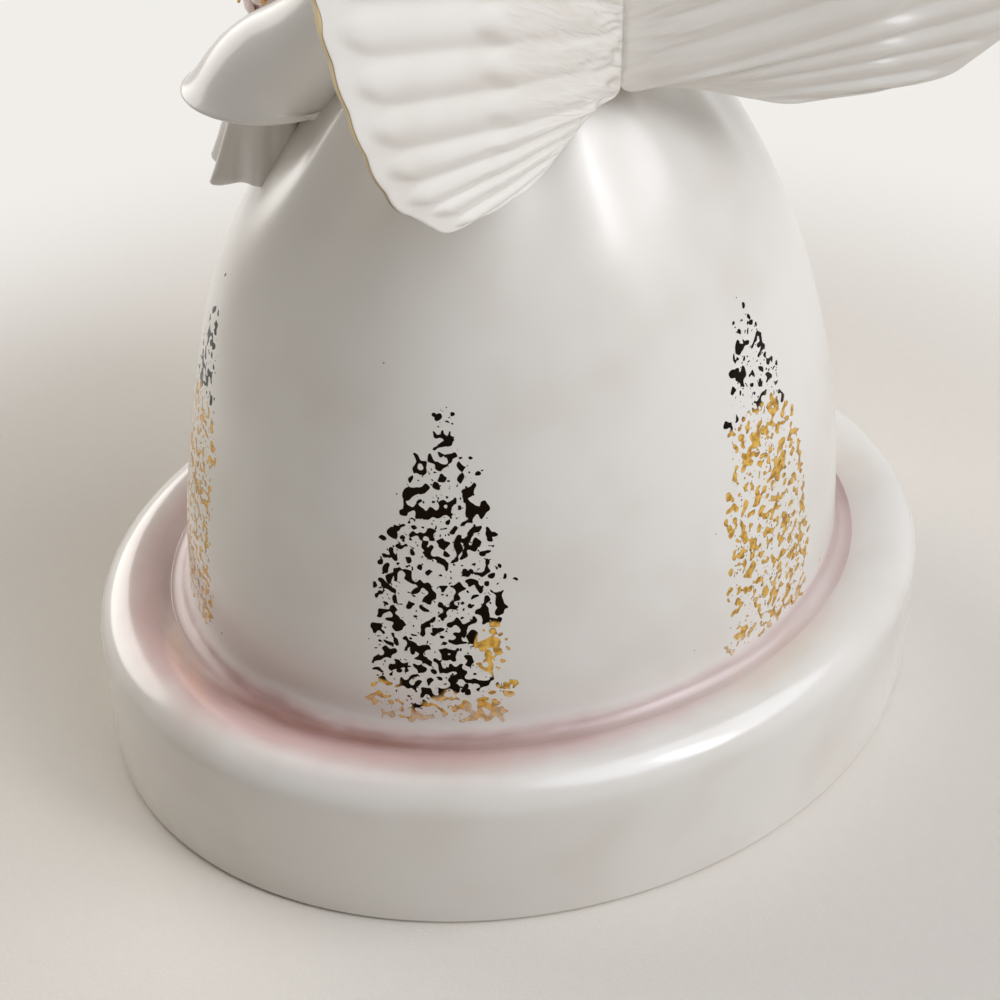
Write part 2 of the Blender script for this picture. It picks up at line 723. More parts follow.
def face_finish(settings, head, centre):
    """Skin with painted brows, closed lashes, lips and a breath of colour on the cheeks. The
    numbers are millimetres from the middle of the head, aside and up."""
    finish = Finish("face_glaze")
    x, y, z = finish.split(finish.place())
    across = abs(x) / MM
    up = (z - centre.z) / MM
    front = finish.ramp(y, centre.y - 0.2 * head.depth, centre.y - 0.3 * head.depth)
    aside = across - 4.1
    lash = finish.near(up + 1.15 - 0.1 * aside**2.0, 0.1, 0.26) * finish.near(aside, 1.7, 2.15)
    brow_line = up - 3.15 + 0.07 * (across - 4.4) ** 2.0
    brow_width = 0.34 - 0.05 * across / 4.0
    brow = finish.near(brow_line / brow_width, 0.4, 1.2) * finish.near(across - 4.3, 1.9, 2.7)
    bow = finish.spot(across, up, (0.75, -7.55), (1.5, 0.55))
    upper = bow | finish.spot(across, up, (0.0, -7.75), (2.1, 0.42))
    lower = finish.spot(across, up, (0.0, -8.55), (1.7, 0.75))
    mouth = finish.ramp(upper | lower, 0.0, 0.35)
    seam = finish.near(up + 8.02 - 0.03 * across**2.0, 0.05, 0.16) * finish.near(across, 1.6, 2.2)
    cheek = finish.ramp(finish.spot(across, up, (5.4, -4.3), (3.2, 2.7)), 0.0, 1.0)
    layers = [
        (cheek * 0.45, tuple(settings.blush)),
        (mouth * 0.8, tuple(settings.lip)),
        (seam * 0.55, linear("8E4F49")),
        (brow * 0.6, tuple(settings.brow)),
        (lash * 0.85, tuple(settings.brow)),
    ]
    colour = tuple(settings.skin)
    for strength, paint in layers:
        colour = finish.mixed(strength * front, colour, paint)
    return glazed(finish, colour, settings, body_roughness=SKIN_ROUGHNESS)


def hair_finish(settings):
    """White glaze that has run off the ridges and lies warmer in the grooves. The UV map holds
    the depth first."""
    finish = Finish("hair_glaze")
    depth, _, _ = finish.split(finish.chart())
    warmth = finish.ramp(depth, 0.1, 1.0) * 0.75
    return glazed(finish, finish.mixed(warmth, tuple(settings.white), linear("C9B79F")), settings)


def petal_finish(settings, name, heart, rim, gilded=0.0):
    """A wash from the heart of a bloom to its rim. The UV map holds that way second."""
    finish = Finish(name)
    _, reach, _ = finish.split(finish.chart())
    patches = (finish.noise(2.2 * MM) - 0.5) * 0.4
    colour = finish.mixed(finish.ramp(reach + patches, 0.15, 0.95), heart, rim)
    edge = finish.ramp(reach + patches * 0.12, 0.93, 0.965) * gilded
    colour = finish.mixed(edge, colour, tuple(settings.gold))
    material = glazed(finish, colour, settings)
    finish.set(metallic=edge * 0.8)
    return material


def gold_finish(settings, name, shade="8F7134"):
    """Gold lustre over the glaze, thinner in places."""
    finish = Finish(name)
    thin = finish.ramp(finish.noise(2.4 * MM, 3.0), 0.35, 0.7)
    colour = finish.mixed(thin * 0.6, tuple(settings.gold), linear(shade))
    material = glazed(finish, colour, settings, body_roughness=0.26)
    finish.set(metallic=0.8 - 0.35 * thin, coat_weight=0.3)
    return material


def shared(name, make, settings):
    """A finish that several operators use, made once."""
    return bpy.data.materials.get(name) or make(settings)


# Operators


class ANGEL_OT_plinth(bpy.types.Operator):
    """Model the oval plinth with its rounded edge and blushed groove"""

    bl_idname = "angel.plinth"
    bl_label = "Plinth"

    def execute(self, context):
        plinth = context.scene.angel_plinth
        rim = plinth.width / 2
        narrowing = (plinth.width - plinth.depth) / 2
        inner = rim - plinth.wall
        deck = plinth.height - plinth.groove_depth
        ceiling = deck - plinth.wall
        shoulder = rim - plinth.edge_radius
        side_top = plinth.height - plinth.edge_radius
        foot = plinth.foot_radius
        fillet = 3 * MM
        bevel = 1 * MM
        side_steps = 6
        groove_steps = 14
        profile = [(inner, 0)] + quarter((rim - foot, foot), (foot, foot), -90, 6)
        profile += [(rim, lerp(foot, side_top, step / side_steps)) for step in range(1, side_steps)]
        profile += quarter((shoulder, side_top), (plinth.edge_radius, plinth.edge_radius), 0, 12)
        for step in range(1, groove_steps + 1):
            share = step / groove_steps
            drop = plinth.groove_depth * smooth(0, 1, share)
            profile.append((shoulder - plinth.groove_width * share, plinth.height - drop))
        edge = plinth.opening / 2
        profile += [(lerp(profile[-1][0], edge, share), deck) for share in (0.5, 1)]
        profile += [(edge, ceiling)]
        corner = (inner - fillet, ceiling - fillet)
        profile += quarter(corner, (fillet, fillet), 90, 5, clockwise=True)
        profile += [(inner, bevel)]
        mesh = spun(profile, 160, closed=True)

        def chart(vert):
            reach = math.hypot(vert.co.x, vert.co.y)
            return reach * CHART_SCALE, vert.co.z * CHART_SCALE

        def oval(point):
            radius = math.hypot(point.x, point.y)
            point.y *= (radius - narrowing) / radius
            return point

        finish = plinth_finish(context.scene.angel_glaze, plinth)
        mesh = moved(painted(mesh, chart), oval)
        kept(context, mesh, "glazed_plinth", ["plinth"], finish)
        return {"FINISHED"}


def groove_height(plinth, point):
    """Height of the plinth's top under a point."""
    narrowing = (plinth.width - plinth.depth) / 2
    reach = point.to_2d().length
    # The oval's inner lines are found by a few rounds, each nearer to the true reach
    for _ in range(4):
        reach = math.hypot(point.x, point.y * reach / (reach - narrowing))
    share = (plinth.width / 2 - plinth.edge_radius - reach) / plinth.groove_width
    return plinth.height - plinth.groove_depth * smooth(0, 1, share)


def dome_share(share, roundness):
    return (1 - share**roundness) ** (1 / roundness)


# The gown's broad drape folds: place at the waist and drift towards the foot in degrees, height in
# millimetres, and the breadth of the gentle and of the steep side in degrees
DRAPE_FOLDS = [
    (82, 6, 0.6, 17, 12),
    (2, -12, 2.3, 13, 9),
    (40, 3, 0.35, 12, 12),
    (124, -3, 0.55, 13, 11),
    (168, 5, 0.9, 14, 9),
    (214, -6, 1.1, 15, 9),
    (247, 4, 0.75, 10, 12),
    (281, -4, 0.9, 12, 9),
    (316, 5, 1.0, 13, 10),
]


class ANGEL_OT_gown(bpy.types.Operator):
    """Model the domed gown with its drape folds and strips of flecks"""

    bl_idname = "angel.gown"
    bl_label = "Gown"

    def fold_swell(self, turn, rise, place, drift, height, gentle, steep):
        """How far one fold stands out of the dome: full at the waist, gone low on the gown."""
        middle = place + drift * (1 - smooth(46 * MM, 68 * MM, rise))
        offset = (math.degrees(turn) - middle + 180) % 360 - 180
        spread = 1 + 0.8 * (1 - smooth(38 * MM, 70 * MM, rise))
        breadth = (gentle if offset < 0 else steep) * spread
        return height * MM * hill(offset, breadth) * smooth(22 * MM, 58 * MM, rise)

    def profile(self, gown, wall):
        """The gown's section: down its hollow, round the foot and up the dome to the waist."""
        liner_rings, cove_steps, rings = 10, 12, 64
        half = gown.width / 2
        waist = gown.foot + gown.height
        profile = [(0, waist - wall)]
        liner_share = (gown.height - wall) / (gown.dome - wall)
        for ring in range(liner_rings, -1, -1):
            share = liner_share * math.sin(math.pi / 2 * ring / liner_rings)
            radius = (half - wall) * dome_share(share, gown.roundness)
            profile.append((radius, gown.foot + (gown.dome - wall) * share))
        rim = half + gown.cove_reach
        profile += [(rim, gown.foot - 0.5 * MM), (rim - 0.02 * MM, gown.foot - 0.05 * MM)]
        for step in range(1, cove_steps):
            turn = math.pi / 2 * step / cove_steps
            reach = gown.cove_reach * (1 - math.sin(turn))
            profile.append((half + reach, gown.foot + gown.cove * (1 - math.cos(turn))))
        for ring in range(rings + 1):
            share = math.sin(math.pi / 2 * ring / rings)
            share = lerp(gown.cove / gown.dome, gown.height / gown.dome, share)
            radius = half * dome_share(share, gown.roundness)
            profile.append((radius, gown.foot + gown.dome * share))
        return profile + [(profile[-1][0] * share, waist) for share in (0.9, 0.6, 0)]

    def execute(self, context):
        gown = context.scene.angel_gown
        plinth = context.scene.angel_plinth
        profile = self.profile(gown, plinth.wall)

        def draped(point):
            radius = math.hypot(point.x, point.y)
            rise = point.z - gown.foot
            if radius > WELD:
                turn = math.atan2(point.y, point.x)
                small = math.cos(gown.folds * (turn - gown.fold_turn))
                swell = gown.fold_depth * smooth(46 * MM, 72 * MM, rise) * small
                for fold in DRAPE_FOLDS:
                    swell += self.fold_swell(turn, rise, *fold)
                long_wave = math.sin(5 * turn + rise / (14 * MM))
                swell += 0.12 * MM * long_wave * smooth(4 * MM, 20 * MM, rise)
                swollen(point, swell)
            point.y *= gown.depth / gown.width
            if radius > gown.width / 2 - WELD:
                hollow = 1 - clamped(rise / gown.cove)
                point.z += hollow * (groove_height(plinth, point) - gown.foot)
            return point

        mesh = moved(spun(profile, 240), draped)
        finish = gown_finish(context.scene.angel_glaze, gown)
        kept(context, mesh, "glazed_gown", ["gown"], finish)
        return {"FINISHED"}


# Depth of the chest and the collar as a share of their width
CHEST_DEPTH_SHARE = 0.76


class ANGEL_OT_bodice(bpy.types.Operator):
    """Model the bodice with its gathers and the ruffled collar"""

    bl_idname = "angel.bodice"
    bl_label = "Bodice and collar"

    def execute(self, context):
        dress = context.scene.angel_dress
        foot = bodice_low.z
        top = bodice_high.z
        outline = [
            (dress.waist / 2, foot - 0.6 * MM),
            (dress.waist / 2 - 0.1 * MM, foot + 1.2 * MM),
            (dress.waist / 2 - 0.6 * MM, foot + 3.5 * MM),
            ((dress.waist + dress.chest) / 4, foot + 9.2 * MM),
            (dress.chest / 2, foot + 15 * MM),
            (dress.chest / 2 - 0.1 * MM, foot + 18.8 * MM),
            ((dress.chest + 10 * MM) / 4 + 2.6 * MM, top - 2.8 * MM),
            (7.4 * MM, top - 0.7 * MM),
            (5 * MM, top),
        ]
        profile = [(0, outline[0][1])] + resampled(outline, 56) + [(0, top)]
        gathers = 22

        def fitted(point):
            turn = math.atan2(point.y, point.x)
            if math.hypot(point.x, point.y) > 6 * MM:
                pleat = math.cos(gathers * turn + 0.6 * math.sin(3 * turn))
                swollen(point, 0.28 * MM * hill(point.z - foot - 4 * MM, 6 * MM) * pleat)
            point.y *= CHEST_DEPTH_SHARE
            return point

        white = shared("white_glaze", white_finish, context.scene.angel_glaze)
        mesh = moved(spun(profile, 176), fitted)
        kept(context, mesh, "glazed_bodice", ["bodice"], white)

        collar_foot = top - 3.5 * MM
        half = dress.collar / 2
        frill = [
            (4.4 * MM, top - 0.4 * MM),
            (8 * MM, collar_foot + 2.2 * MM),
            (half - 1.6 * MM, collar_foot + 0.4 * MM),
            (half - 0.5 * MM, collar_foot + 0.3 * MM),
            (half, collar_foot + 1 * MM),
            (half - 0.4 * MM, collar_foot + 1.8 * MM),
            (half - 1.6 * MM, collar_foot + 2.6 * MM),
            (8 * MM, top + 1.4 * MM),
            (5.4 * MM, top + 1.9 * MM),
            (4.4 * MM, top + 1.8 * MM),
        ]

        def ruffled(point):
            radius = math.hypot(point.x, point.y)
            turn = math.atan2(point.y, point.x)
            freedom = smooth(5 * MM, half, radius)
            wave = math.cos(dress.ruffles * turn) + 0.25 * math.cos(2 * dress.ruffles * turn + 1)
            point.z += dress.ruffle_depth * freedom * wave
            swollen(point, 0.35 * MM * freedom * math.cos(dress.ruffles * turn))
            point.y *= lerp(1, CHEST_DEPTH_SHARE, freedom)
            return point

        mesh = moved(spun(resampled(frill, 44), 180, closed=True), ruffled)
        kept(context, mesh, "ruffled_collar", ["collar"], white)
        return {"FINISHED"}


# The two edges of a wing as shares of its span and height, both from the lower tip. The outer one
# runs up round the feather tips to the top, the inner one under the wing and up along the joint.
OUTER_EDGE = [
    (0.45, 0.06), (0.5, 0.064), (0.54, 0.069), (0.58, 0.081), (0.62, 0.104), (0.66, 0.138),
    (0.72, 0.18), (0.78, 0.256), (0.832, 0.355), (0.875, 0.46), (0.905, 0.555), (0.93, 0.66),
    (0.975, 0.78), (1, 0.89), (0.96, 0.975), (0.87, 1),
]
INNER_EDGE = [
    (0.41, 0.056), (0.3, 0.042), (0.22, 0.056), (0.135, 0.077), (0.05, 0.09), (-0.028, 0.1),
    (-0.03, 0.28), (0.01, 0.53),
]
# How early the inner edge's points are reached, and where a rounded rim has its points
INNER_SPREAD = 0.7
RIM_STEPS = (0, 0.05, 0.2, 0.5, 1)


class ANGEL_OT_wings(bpy.types.Operator):
    """Model the two swept wings with their ribbed feathers and gold edge"""

    bl_idname = "angel.wings"
    bl_label = "Wings"

    columns = 88
    rows = 240

    def spaced(self, index, count, half_edge, length):
        """A share along a line whose points crowd at its two rounded ends."""
        rims = len(RIM_STEPS) - 1
        if index <= rims:
            return RIM_STEPS[index] * half_edge / length
        if index >= count - rims:
            return 1 - RIM_STEPS[count - index] * half_edge / length
        start = half_edge / length
        return lerp(start, 1 - start, (index - rims) / (count - 2 * rims))

    def loss(self, distance, radius):
        """How far a rounded edge falls back at a distance from its rim."""
        near = min(1, distance / radius)
        return radius * (1 - math.sqrt(max(0, 1 - (1 - near) ** 2)))

    def barbs(self, wing, side, along, across, rootward, rimward):
        """The fine ridges near the root, plainer on the right wing."""
        place = Vector((rootward / (8 * MM), across * wing.height / (1.5 * MM), 5 * side))
        ridges = 1 - 2 * abs(noise.noise(place))
        ridges *= (1 - smooth(0.06, 0.34, along)) * smooth(0, 3 * MM, rimward)
        return ridges * smooth(0, 3.5 * MM, rootward) * (1 if side > 0 else 0.4)

    def blade(self, context, side):
        wing = context.scene.angel_wing
        scale = Vector((wing.span, wing.height))
        outer_line = Line(through, [Vector(shares) * scale for shares in OUTER_EDGE])
        inner_line = Line(through, [Vector(shares) * scale for shares in INNER_EDGE])
        half_chest = context.scene.angel_dress.chest / 2 * CHEST_DEPTH_SHARE
        root_reach = wing.root_y - half_chest + 3 * MM
        half_edge = wing.edge / 2
        cosine = math.cos(wing.sweep)
        sine = math.sin(wing.sweep)
        mesh = bmesh.new()
        columns, rows = self.columns, self.rows
        bmesh.ops.create_grid(mesh, x_segments=columns, y_segments=rows, size=0.5)
        sheet = list(mesh.verts)
        flipped = bmesh.ops.extrude_face_region(mesh, geom=list(mesh.faces))
        front = [item for item in flipped["geom"] if isinstance(item, bmesh.types.BMVert)]
        is_front = set(front)
        charts = {}

        for vert in sheet + front:
            column = round((vert.co.x + 0.5) * columns)
            row = round((vert.co.y + 0.5) * rows)
            across = self.spaced(row, rows, half_edge, outer_line.length)
            inner = inner_line.at(across**INNER_SPREAD)
            outer = outer_line.at(across)
            length = (outer - inner).length
            along = self.spaced(column, columns, half_edge, length)
            rootward = along * length
            inward = (1 - along) * length
            rimward = min(inward, across * outer_line.length, (1 - across) * outer_line.length)
            half = lerp(0.1 * MM, wing.rim / 2, smooth(0, 4 * MM, rootward))
            wave = math.sin(math.pi * wing.feathers * across)
            crest = math.sqrt(wave * wave + 0.06) - 0.245
            bulge = 4 * along * (1 - along)
            fullness = smooth(0, 0.5, across)
            joint = smooth(0.3, 0.45, across)
            place = inner.lerp(outer, along)
            place += (outer - inner).normalized() * (wing.scallop * crest * along)
            place.y += wing.arch * across**3 * bulge
            depth = wing.camber * bulge * fullness
            edge_loss = self.loss(min(rimward, rootward), half)
            tip_end = 1.3 * MM + 2.8 * MM * (1 - crest) ** 1.5
            ribs = wing.relief * crest * smooth(tip_end, tip_end + 2.6 * MM, inward)
            if vert in is_front:
                nearness = joint * (1 - smooth(0, 1, along))
                wedge = joint * (1 - smooth(0, 0.3, along))
                thickness = lerp(wing.edge, wing.root, nearness)
                thickness = lerp(wing.rim, thickness, smooth(0, 3.5 * MM, rimward))
                depth -= thickness + root_reach * wedge + 0.4 * ribs - edge_loss
            else:
                covert_tip = 0.56 + 0.07 * crest
                coverts = 1 - smooth(covert_tip - 0.04, covert_tip + 0.04, along)
                barbs = self.barbs(wing, side, along, across, rootward, rimward)
                depth += ribs * smooth(0, 9 * MM, rootward) + 0.42 * MM * barbs
                depth += wing.covert * coverts * fullness - edge_loss
            joined = 0.4 * MM * (1 - smooth(0, 3 * MM, rootward))
            aside = wing.root_x + place.x * cosine - depth * sine - joined
            back = wing.root_y + place.x * sine + depth * cosine
            vert.co = (side * max(0, aside), back, wing.foot + place.y)
            charts[vert] = (inward * CHART_SCALE, across)
        painted(mesh, charts.get)
        bmesh.ops.remove_doubles(mesh, verts=mesh.verts, dist=WELD)
        return mesh

    def execute(self, context):
        finish = wing_finish(context.scene.angel_glaze, context.scene.angel_wing)
        for side, name in SIDES:
            node = name + "_wing"
            blade = self.blade(context, side)
            kept(context, blade, "feathered_" + node, [node], finish)
        return {"FINISHED"}


# How deep a sleeve is hollow at its mouth, and how far its frill hangs out
MOUTH_DEPTH = 6.5 * MM
FRILL_HANG = 10.2 * MM


def arm_lines():
    """The sleeve's line, the share of it at which the arm starts, and the lines of the cuff and
    the forearm."""
    top = bodice_high.z
    places = [(12.5, -1, 8), (17.5, -1.5, 20.8), (22, -8, 26.8), (26.9, -13.6, 33)]
    sleeve = Line(pulled, [Vector((x * MM, y * MM, top - drop * MM)) for x, y, drop in places])
    share = 1 - (MOUTH_DEPTH - 0.3 * MM) / sleeve.length
    start = sleeve.at(share)
    heading = sleeve.heading(share)
    mouth = sleeve.at(1)
    middle = Vector((mouth.x, mouth.y, mouth.z - FRILL_HANG / 2))
    end = Vector((mouth.x, mouth.y, mouth.z - FRILL_HANG))
    cuff = Line(pulled, [start, start + heading * MOUTH_DEPTH, middle, end])
    wrist = Vector((14.5 * MM, -26.5 * MM, top - 33 * MM))
    bend = mouth.lerp(wrist, 0.3)
    bend.z = wrist.z
    forearm = Line(pulled, [start, start + heading * MOUTH_DEPTH / 2, bend, wrist])
    return sleeve, share, cuff, forearm


def mirrored(mesh, side):
    """The same shape for the angel's left side, or for its right side where side is -1."""
    bmesh.ops.scale(mesh, vec=(side, 1, 1), verts=mesh.verts)
    return mesh


class ANGEL_OT_sleeves(bpy.types.Operator):
    """Model the bell sleeves and the frills that hang out of them"""

    bl_idname = "angel.sleeves"
    bl_label = "Sleeves and cuffs"

    def sleeve(self, dress):
        line, arm_share, _, _ = arm_lines()
        length = line.length
        outline = [
            (0.0, 0.35), (0.02, 0.55), (0.06, 0.8), (0.12, 0.97), (0.2, 1.0), (0.4, 0.96),
            (0.65, 0.99), (0.82, 1.14), (0.93, 1.35), (1.0, dress.mouth / dress.shoulder),
        ]
        shares = resampled(outline, 60)
        outer = [(radius * dress.shoulder, length * along) for along, radius in shares]
        lip = dress.mouth
        hem = 0.55 * MM
        beading = [math.pi * step / 8 for step in range(1, 9)]
        bead_middle = lip + 0.12 * MM - hem
        bead = [
            (bead_middle + hem * math.cos(turn), length + hem * math.sin(turn)) for turn in beading
        ]
        floor_radius = dress.shoulder - dress.sleeve_wall
        mouth = lip - dress.sleeve_wall + 0.5 * MM
        inner = [
            (lerp(mouth, floor_radius, share), length - MOUTH_DEPTH * share)
            for share in (0.15, 0.3, 0.5, 0.7, 0.85, 0.95)
        ]
        floor = [(floor_radius * 0.9, length - MOUTH_DEPTH), (0, length - MOUTH_DEPTH)]
        profile = [(0, 0)] + outer[1:] + bead + inner + floor

        def droop(along):
            return 0.92 * smooth(arm_share, 1, along)

        return bent(spun(profile, 88), line, length, None, droop)

    def cuff(self, dress):
        _, _, line, _ = arm_lines()
        length = line.length
        radius = dress.shoulder - dress.sleeve_wall - 0.9 * MM
        wall = 1.1 * MM
        outer = [(radius, length * step / 26) for step in range(27)]
        rounding = [math.pi * step / 6 for step in range(1, 6)]
        middle = radius - wall / 2
        lip = [
            (middle + wall / 2 * math.cos(turn), length + wall / 2 * math.sin(turn))
            for turn in rounding
        ]
        inner = [(radius - wall, length * step / 18) for step in range(18, -1, -1)]
        waves = dress.cuff_waves

        def widen(along, turn):
            flare = 1 + dress.cuff_flare / radius * along**2
            uneven = 1 + 0.3 * math.sin(2 * turn + 0.7)
            ruffle = 0.12 * uneven * math.cos(waves * turn + 0.5 * math.sin(turn))
            return flare * (1 + along * (ruffle + 0.02 * math.cos(2 * waves * turn)))

        def hemmed(point):
            turn = math.atan2(point.y, point.x)
            share = clamped(point.z / length)
            wave = 0.55 * math.sin(waves * turn * 0.5 + 1.2) - 0.5
            point.z += wave * MM * share**3
            return point

        mesh = moved(spun(outer + lip + inner, 168, closed=True), hemmed)
        return bent(mesh, line, length, widen)

    def execute(self, context):
        dress = context.scene.angel_dress
        white = shared("white_glaze", white_finish, context.scene.angel_glaze)
        for side, name in SIDES:
            sleeve = mirrored(self.sleeve(dress), side)
            kept(context, sleeve, name + "_bell_sleeve", [name + "_sleeve"], white)
            cuff = mirrored(self.cuff(dress), side)
            kept(context, cuff, name + "_frill", [name + "_cuff"], white)
        return {"FINISHED"}


class ANGEL_OT_hands(bpy.types.Operator):
    """Model the hands that hold the posy, each in one skin with its forearm"""

    bl_idname = "angel.hands"
    bl_label = "Hands"

    def hand(self, context):
        _, _, _, line = arm_lines()
        heading = line.heading(1)
        wrist = line.at(1)
        places = [line.at(share) for share in (0, 0.33, 0.66, 0.9, 1)]
        arm = tube(places, [2.7 * MM, 2.7 * MM, 2.6 * MM, 2.35 * MM, 2.3 * MM], 20)
        palm_centre = wrist + heading * 2.8 * MM
        level = Matrix.Rotation(math.atan2(heading.y, heading.x), 4, "Z")
        palm = ball((0, 0, 0), (8.4 * MM, 4.2 * MM, 6.4 * MM))
        parts = [arm, turned(palm, Matrix.Translation(palm_centre) @ level)]
        inward = Vector((-0.93, -0.1, 0)).normalized()
        for finger in range(4):
            shorter = abs(finger - 1.6)
            rise = (finger / 3 - 0.5) * 4.6 * MM
            start = palm_centre + heading * 2.4 * MM + Vector((0, 0, rise))
            knee = start + heading * (1.9 - 0.25 * shorter) * MM
            tip = knee + inward * (3.1 - 0.35 * shorter) * MM
            parts.append(tube([start, knee, tip], [1.12 * MM, 1.08 * MM, 0.85 * MM], 14))
        start = palm_centre - heading * 0.6 * MM + Vector((0, 0, 2.2 * MM))
        knee = start + Vector((-1.6, -1.1, 1.7)) * MM
        tip = knee + Vector((-2.4, -0.5, 0.5)) * MM
        parts.append(tube([start, knee, tip], [1.35 * MM, 1.15 * MM, 0.9 * MM], 14))
        return fused(context, parts, 0.26 * MM, 3)

    def execute(self, context):
        skin = shared("skin_glaze", skin_finish, context.scene.angel_glaze)
        for side, name in SIDES:
            hand = mirrored(self.hand(context), side)
            kept(context, hand, name + "_shaped_hand", [name + "_hand"], skin)
        return {"FINISHED"}


FACE_CENTRE = Vector((0, -1.2 * MM, bodice_high.z + 17 * MM))

# Swells of the face in millimetres: aside, up, width, height and amount, the same on both sides
FACE_SWELLS = [
    (0, -1.2, 0.75, 1.9, 0.5),
    (0, -3.2, 0.85, 1.5, 0.9),
    (0, -4.3, 1.0, 0.8, 1.1),
    (1.25, -4.75, 0.65, 0.55, 0.55),
    (0, -5.6, 1.9, 0.6, -0.15),
    (0.7, -7.45, 1.1, 0.42, 0.42),
    (0, -8.6, 1.5, 0.55, 0.55),
    (0, -8.0, 2.4, 0.22, -0.3),
    (0, -9.7, 2.2, 0.6, -0.25),
    (0, -11.2, 2.4, 1.4, 0.85),
    (4.1, 0.9, 2.3, 1.5, -0.85),
    (4.1, -0.2, 1.75, 1.1, 0.95),
    (4.3, 3.0, 2.8, 0.9, 0.3),
    (5.3, -4.4, 2.9, 2.6, 0.55),
    (0, 5.5, 5.5, 3.5, 0.25),
]


class ANGEL_OT_head(bpy.types.Operator):
    """Model the head and neck with calm, closed eyes"""

    bl_idname = "angel.head"
    bl_label = "Head"

    def skull(self, head):
        mesh = ball((0, 0, 0), (head.width, head.depth, head.height), 200, 120)

        def modelled(point):
            low = max(0, -point.z / (head.height / 2))
            front = smooth(0, 0.35 * head.depth, -point.y)
            point.x *= 1 - 0.2 * low * low - 0.06 * low**4
            swell = 0
            for aside, up, width, height, amount in FACE_SWELLS:
                across = abs(point.x) / MM if aside else point.x / MM
                swell += amount * hill(across - aside, width) * hill(point.z / MM - up, height)
            point.y -= swell * MM * front
            point.y += 0.6 * MM * front * hill(point.x, 9 * MM) * hill(point.z - 1 * MM, 5 * MM)
            return point + FACE_CENTRE

        return moved(mesh, modelled)

    def neck(self):
        foot = bodice_high.z + 0.1 * MM
        outline = [(5.4, 0), (4.85, 1.2), (4.5, 3), (4.45, 5.5), (4.7, 8), (5.2, 10.5)]
        sides = resampled([(radius * MM, foot + rise * MM) for radius, rise in outline], 24)
        mesh = spun([(0, foot)] + sides + [(0, sides[-1][1])], 72)
        return moved(mesh, lambda point: point + Vector((0, 0.12 * (point.z - foot), 0)))

    def execute(self, context):
        head = context.scene.angel_head
        mesh = fused(context, [self.skull(head), self.neck()], 0.22 * MM, 3)
        finish = face_finish(context.scene.angel_glaze, head, FACE_CENTRE)
        kept(context, mesh, "painted_head", ["head"], finish)
        return {"FINISHED"}


class ANGEL_OT_hair(bpy.types.Operator):
    """Model the swept hair and the coiled bun"""

    bl_idname = "angel.hair"
    bl_label = "Hair and bun"

    def cap(self, head):
        grow = 2 * head.hair
        half = Vector((head.width + grow, head.depth + grow, head.height + grow)) / 2
        centre = FACE_CENTRE + Vector((0, head.hair / 2, head.hair / 2))
        opening = Vector((head.width / 2, head.depth / 2, head.height / 2))
        opening_place = FACE_CENTRE - Vector((0, head.depth * 0.57, head.height * 0.15))
        nape = Vector((0, math.sin(math.radians(25)), math.cos(math.radians(25))))
        nape_drop = 3.8 * MM * nape.z
        mesh = ball((0, 0, 0), (2, 2, 2), 288, 110)
        tilt = Matrix.Rotation(math.radians(-62), 3, "X")
        depths = {}
        for vert in mesh.verts:
            out = tilt @ vert.co.normalized()
            sweep = math.atan2(vert.co.x, vert.co.y)
            back = math.acos(max(-1, min(1, vert.co.normalized().z)))
            wave = sweep + 0.1 * math.sin(3 * back)
            strand = abs(math.sin(head.strands * wave / 2))
            fine = 0.5 + 0.5 * math.cos(head.strands * 5 * wave + 2 * noise.noise(out * 3))
            spread = smooth(0, 0.5, back) * smooth(0, 0.4, math.pi - back)
            lift = head.strand_depth * spread * (strand - 0.6 + 0.28 * fine)
            place = Vector((out.x * half.x, out.y * half.y, out.z * half.z)) + centre
            away = place - opening_place
            ratio = sum((reach / width) ** 2 for reach, width in zip(away, opening))
            over_nape = (place - FACE_CENTRE).dot(nape) + nape_drop
            shown = smooth(0.93, 1.06, ratio) * smooth(-0.4 * MM, 1.1 * MM, over_nape)
            rolled = max(hill(ratio - 1.16, 0.1), hill(over_nape - 1.8 * MM, 0.9 * MM))
            place += out * (lift + 0.35 * MM * rolled)
            vert.co = lerp(FACE_CENTRE + (place - FACE_CENTRE) * 0.8, place, shown)
            depths[vert] = (clamped(1 - strand) * spread + 0.35 * (1 - fine) * spread, back)
        return painted(mesh, depths.get)

    def bun(self, head):
        centre = FACE_CENTRE + Vector((0, head.depth / 2, head.height / 4))
        mesh = ball((0, 0, 0), (1, 1, 1), 140, 90)
        turn = Matrix.Rotation(math.radians(-90), 3, "X")
        depths = {}
        for vert in mesh.verts:
            out = turn @ vert.co.normalized()
            around = math.atan2(out.z, out.x)
            reach = math.acos(max(-1, min(1, out.y)))
            coil = 0.5 + 0.5 * math.cos(3 * around + 5.2 * reach)
            fine = 0.5 + 0.5 * math.cos(15 * around + 26 * reach)
            radius = head.bun / 2 * (0.93 + 0.09 * coil**0.7 + 0.012 * fine)
            vert.co = centre + out * radius
            depths[vert] = (clamped(1.1 - coil * 1.2) + 0.15 * (1 - fine), reach)
        return painted(mesh, depths.get)

    def execute(self, context):
        head = context.scene.angel_head
        finish = hair_finish(context.scene.angel_glaze)
        kept(context, self.cap(head), "swept_hair", ["hair"], finish)
        kept(context, self.bun(head), "coiled_bun", ["hair_bun"], finish)
        return {"FINISHED"}


POSY_CENTRE = Vector((0, -31 * MM, bodice_low.z - 1.5 * MM))

